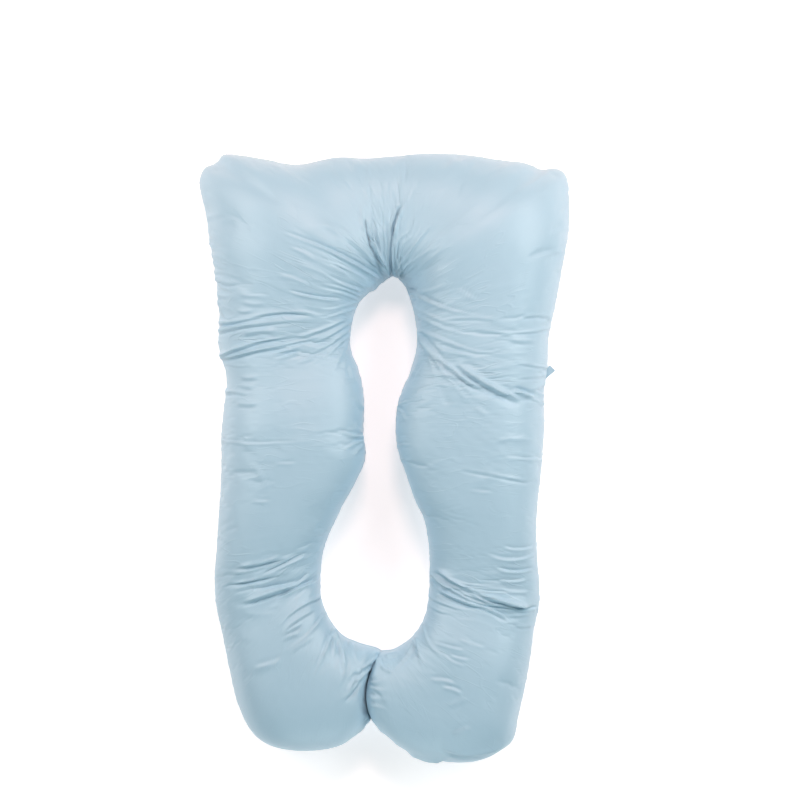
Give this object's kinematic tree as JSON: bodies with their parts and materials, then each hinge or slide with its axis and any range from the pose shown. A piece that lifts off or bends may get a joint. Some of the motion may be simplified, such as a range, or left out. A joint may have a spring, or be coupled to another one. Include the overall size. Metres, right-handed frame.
{
  "type": "body pillow",
  "caption": "Tall arch-shaped body pillow with eared shoulders, a long keyhole slot and inward-turned toes that meet, lying on its back.",
  "frame": {"origin": "centre of the pillow's bounding box in plan, on the surface it lies on", "axes": "+Y from the toes to the crossbar, +X to the arm with the side tab, +Z out of the face"},
  "size_m": [0.9136, 1.5004, 0.268],
  "materials": {
    "pillow_cover": "pale blue cotton sateen, soft sheen",
    "side_tape": "pale blue woven cotton tape"
  },
  "bodies": {
    "root": {"pillow": "pillow_cover", "side_tab": "side_tape"}
  },
  "joints": []
}
